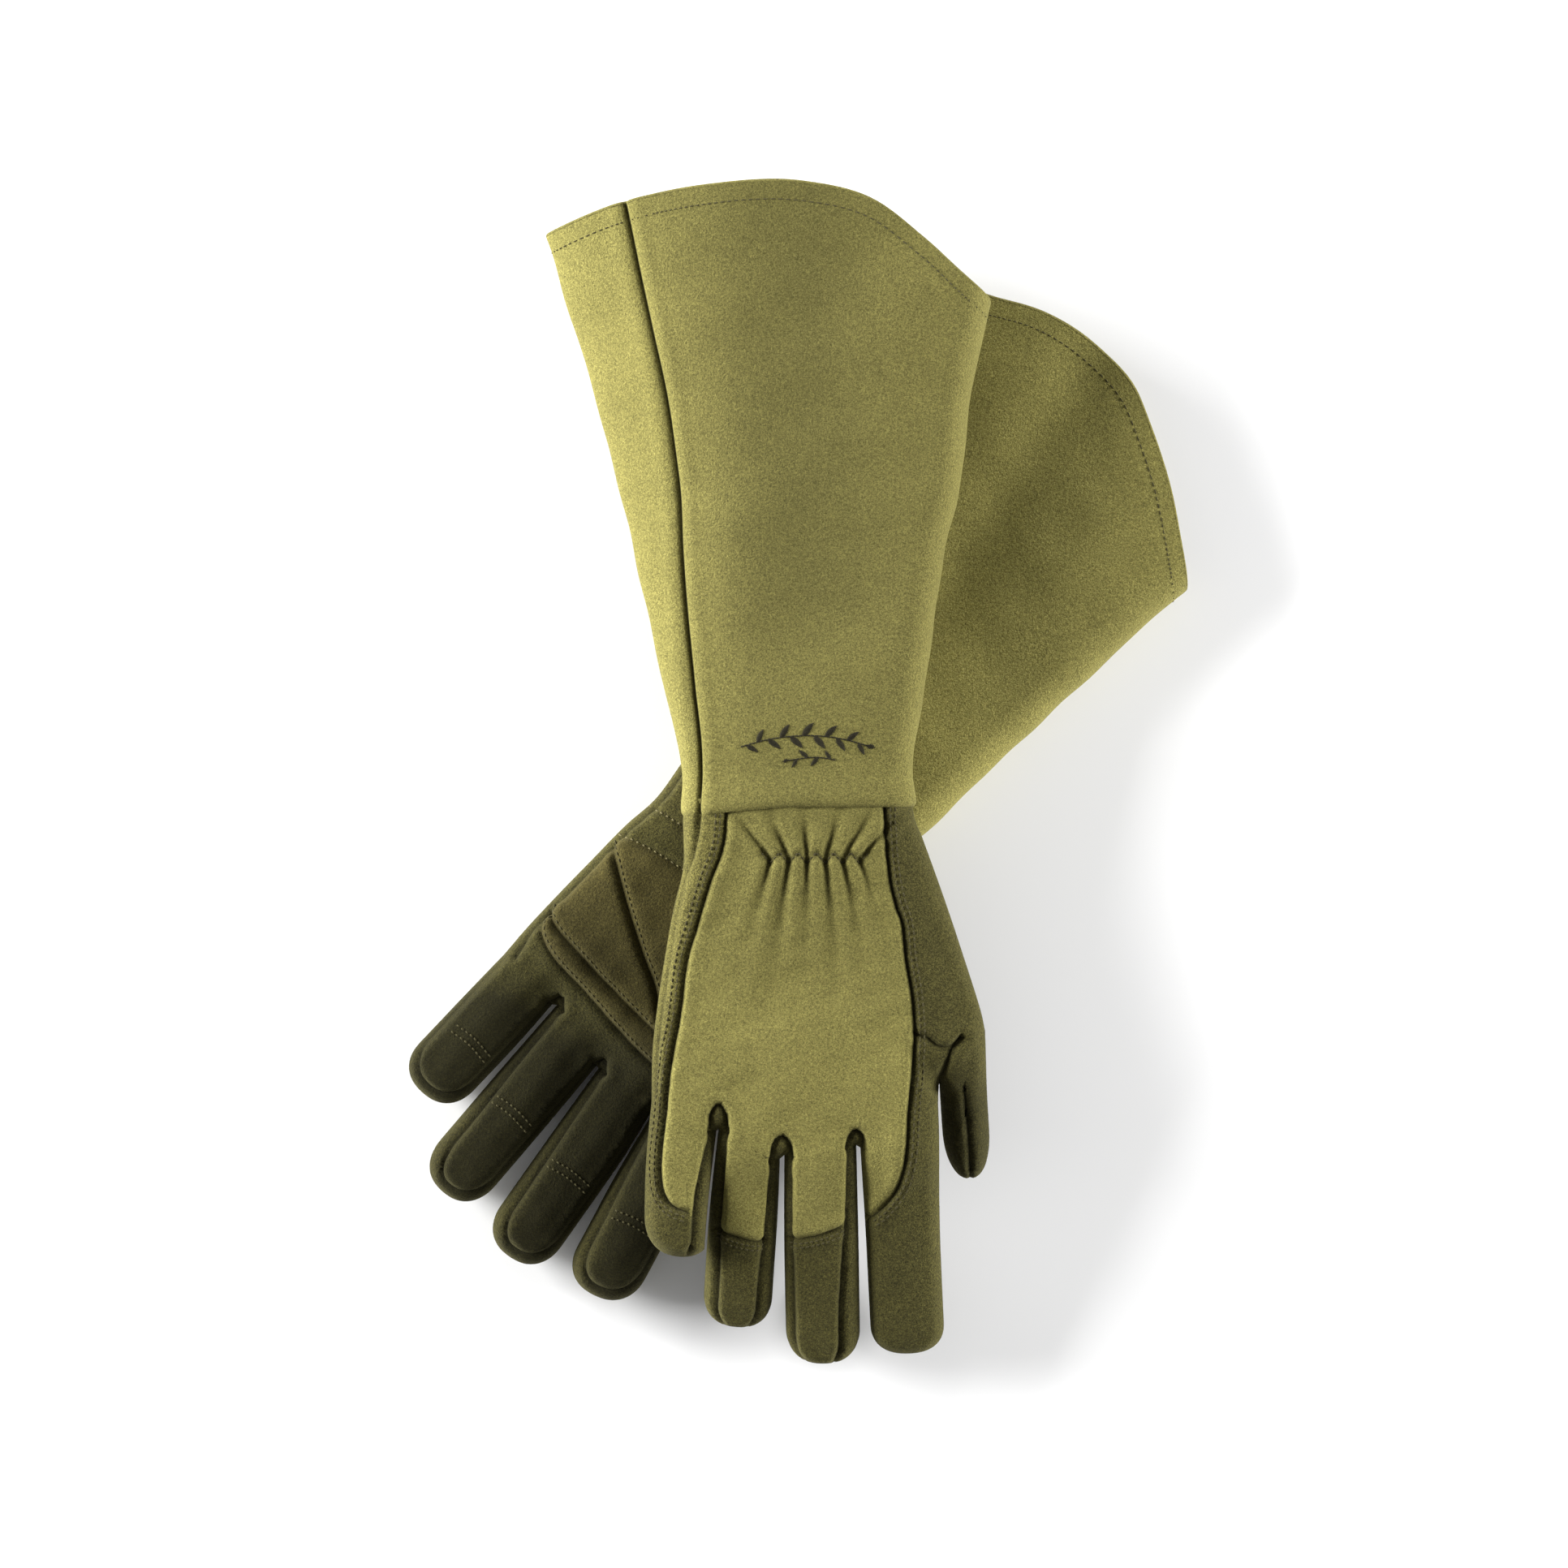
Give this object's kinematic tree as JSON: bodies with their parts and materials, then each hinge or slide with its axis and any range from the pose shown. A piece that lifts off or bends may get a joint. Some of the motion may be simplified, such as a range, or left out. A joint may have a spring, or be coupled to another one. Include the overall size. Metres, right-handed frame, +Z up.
{
  "type": "gardening gloves",
  "caption": "Pair of long gauntlet gardening gloves with flared cuffs and padded palms, the right glove lying on the left.",
  "frame": {"origin": "centre of the pair's bounding box, on the surface that the pair lies on", "axes": "+Z up from that surface; +Y from the right glove's fingertips towards its gauntlet; +X towards the right glove's thumb"},
  "size_m": [0.2976, 0.4537, 0.0611],
  "materials": {
    "light_suede": "light olive synthetic suede with a fine short nap",
    "dark_suede": "dark olive synthetic suede with a fine short nap",
    "pad_suede": "dark olive synthetic suede over thin foam, top-stitched",
    "elastic": "woven elastic webbing"
  },
  "bodies": {
    "left_hand": {"left_back_panel": "light_suede", "left_palm_panel": "dark_suede", "left_side_strip": "dark_suede", "left_thumb_gusset": "dark_suede", "left_index_gusset": "dark_suede", "left_wrist_elastic": "elastic", "left_outer_heel_pad": "pad_suede", "left_inner_heel_pad": "pad_suede", "left_knuckle_pad": "pad_suede", "left_index_back": "dark_suede", "left_index_palm": "dark_suede", "left_index_forchette": "dark_suede", "left_thumb_back": "dark_suede", "left_thumb_palm": "dark_suede", "left_thumb_forchette": "dark_suede", "left_gauntlet_main_panel": "light_suede", "left_gauntlet_side_panel": "light_suede", "left_gauntlet_hem": "light_suede"},
    "left_little": {"left_little_back": "light_suede", "left_little_palm": "dark_suede", "left_little_forchette": "dark_suede", "left_little_tip_cap": "dark_suede"},
    "left_ring": {"left_ring_back": "light_suede", "left_ring_palm": "dark_suede", "left_ring_forchette": "dark_suede", "left_ring_tip_cap": "dark_suede"},
    "left_middle": {"left_middle_back": "light_suede", "left_middle_palm": "dark_suede", "left_middle_forchette": "dark_suede", "left_middle_tip_cap": "dark_suede"},
    "right_hand": {"right_back_panel": "light_suede", "right_palm_panel": "dark_suede", "right_side_strip": "dark_suede", "right_thumb_gusset": "dark_suede", "right_index_gusset": "dark_suede", "right_wrist_elastic": "elastic", "right_outer_heel_pad": "pad_suede", "right_inner_heel_pad": "pad_suede", "right_knuckle_pad": "pad_suede"},
    "right_little": {"right_little_back": "light_suede", "right_little_palm": "dark_suede", "right_little_forchette": "dark_suede", "right_little_tip_cap": "dark_suede"},
    "right_ring": {"right_ring_back": "light_suede", "right_ring_palm": "dark_suede", "right_ring_forchette": "dark_suede", "right_ring_tip_cap": "dark_suede"},
    "right_middle": {"right_middle_back": "light_suede", "right_middle_palm": "dark_suede", "right_middle_forchette": "dark_suede", "right_middle_tip_cap": "dark_suede"},
    "right_index": {"right_index_back": "dark_suede", "right_index_palm": "dark_suede", "right_index_forchette": "dark_suede"},
    "right_thumb": {"right_thumb_back": "dark_suede", "right_thumb_palm": "dark_suede", "right_thumb_forchette": "dark_suede"},
    "right_cuff": {"right_gauntlet_main_panel": "light_suede", "right_gauntlet_side_panel": "light_suede", "right_gauntlet_hem": "light_suede"}
  },
  "joints": [
    {"name": "lift_off", "type": "slide", "parent": "left_hand", "child": "right_hand", "axis": [0, 0, 1], "range_m": [0, 0.15]},
    {"name": "right_thumb_bend", "type": "hinge", "parent": "right_hand", "child": "right_thumb", "pos_m": [0.05994, -0.0982, 0.0275], "axis": [0.9986, 0.0523, 0], "range_deg": [0, 45]},
    {"name": "right_index_bend", "type": "hinge", "parent": "right_hand", "child": "right_index", "pos_m": [0.03584, -0.1362, 0.0275], "axis": [0.998, 0.0628, 0], "range_deg": [0, 70]},
    {"name": "right_middle_bend", "type": "hinge", "parent": "right_hand", "child": "right_middle", "pos_m": [0.00624, -0.1378, 0.0275], "axis": [1, 0, 0], "range_deg": [0, 70]},
    {"name": "right_ring_bend", "type": "hinge", "parent": "right_hand", "child": "right_ring", "pos_m": [-0.02046, -0.1341, 0.0275], "axis": [0.9968, -0.0802, 0], "range_deg": [0, 70]},
    {"name": "right_little_fold_back", "type": "hinge", "parent": "right_hand", "child": "right_little", "pos_m": [-0.04566, -0.126, 0.0505], "axis": [-0.9976, 0.0698, 0], "range_deg": [0, 30]},
    {"name": "left_middle_bend", "type": "hinge", "parent": "left_hand", "child": "left_middle", "pos_m": [-0.06518, -0.11736, 0.023], "axis": [-0.8244, 0.566, 0], "range_deg": [0, 35]},
    {"name": "left_ring_bend", "type": "hinge", "parent": "left_hand", "child": "left_ring", "pos_m": [-0.08556, -0.0982, 0.023], "axis": [-0.7653, 0.6437, 0], "range_deg": [0, 70]},
    {"name": "left_little_bend", "type": "hinge", "parent": "left_hand", "child": "left_little", "pos_m": [-0.10626, -0.0788, 0.023], "axis": [-0.7447, 0.6674, 0], "range_deg": [0, 70]},
    {"name": "right_cuff_lift", "type": "hinge", "parent": "right_hand", "child": "right_cuff", "pos_m": [-0.00206, -0.0132, 0.0505], "axis": [1, 0, 0], "range_deg": [0, 50]}
  ]
}
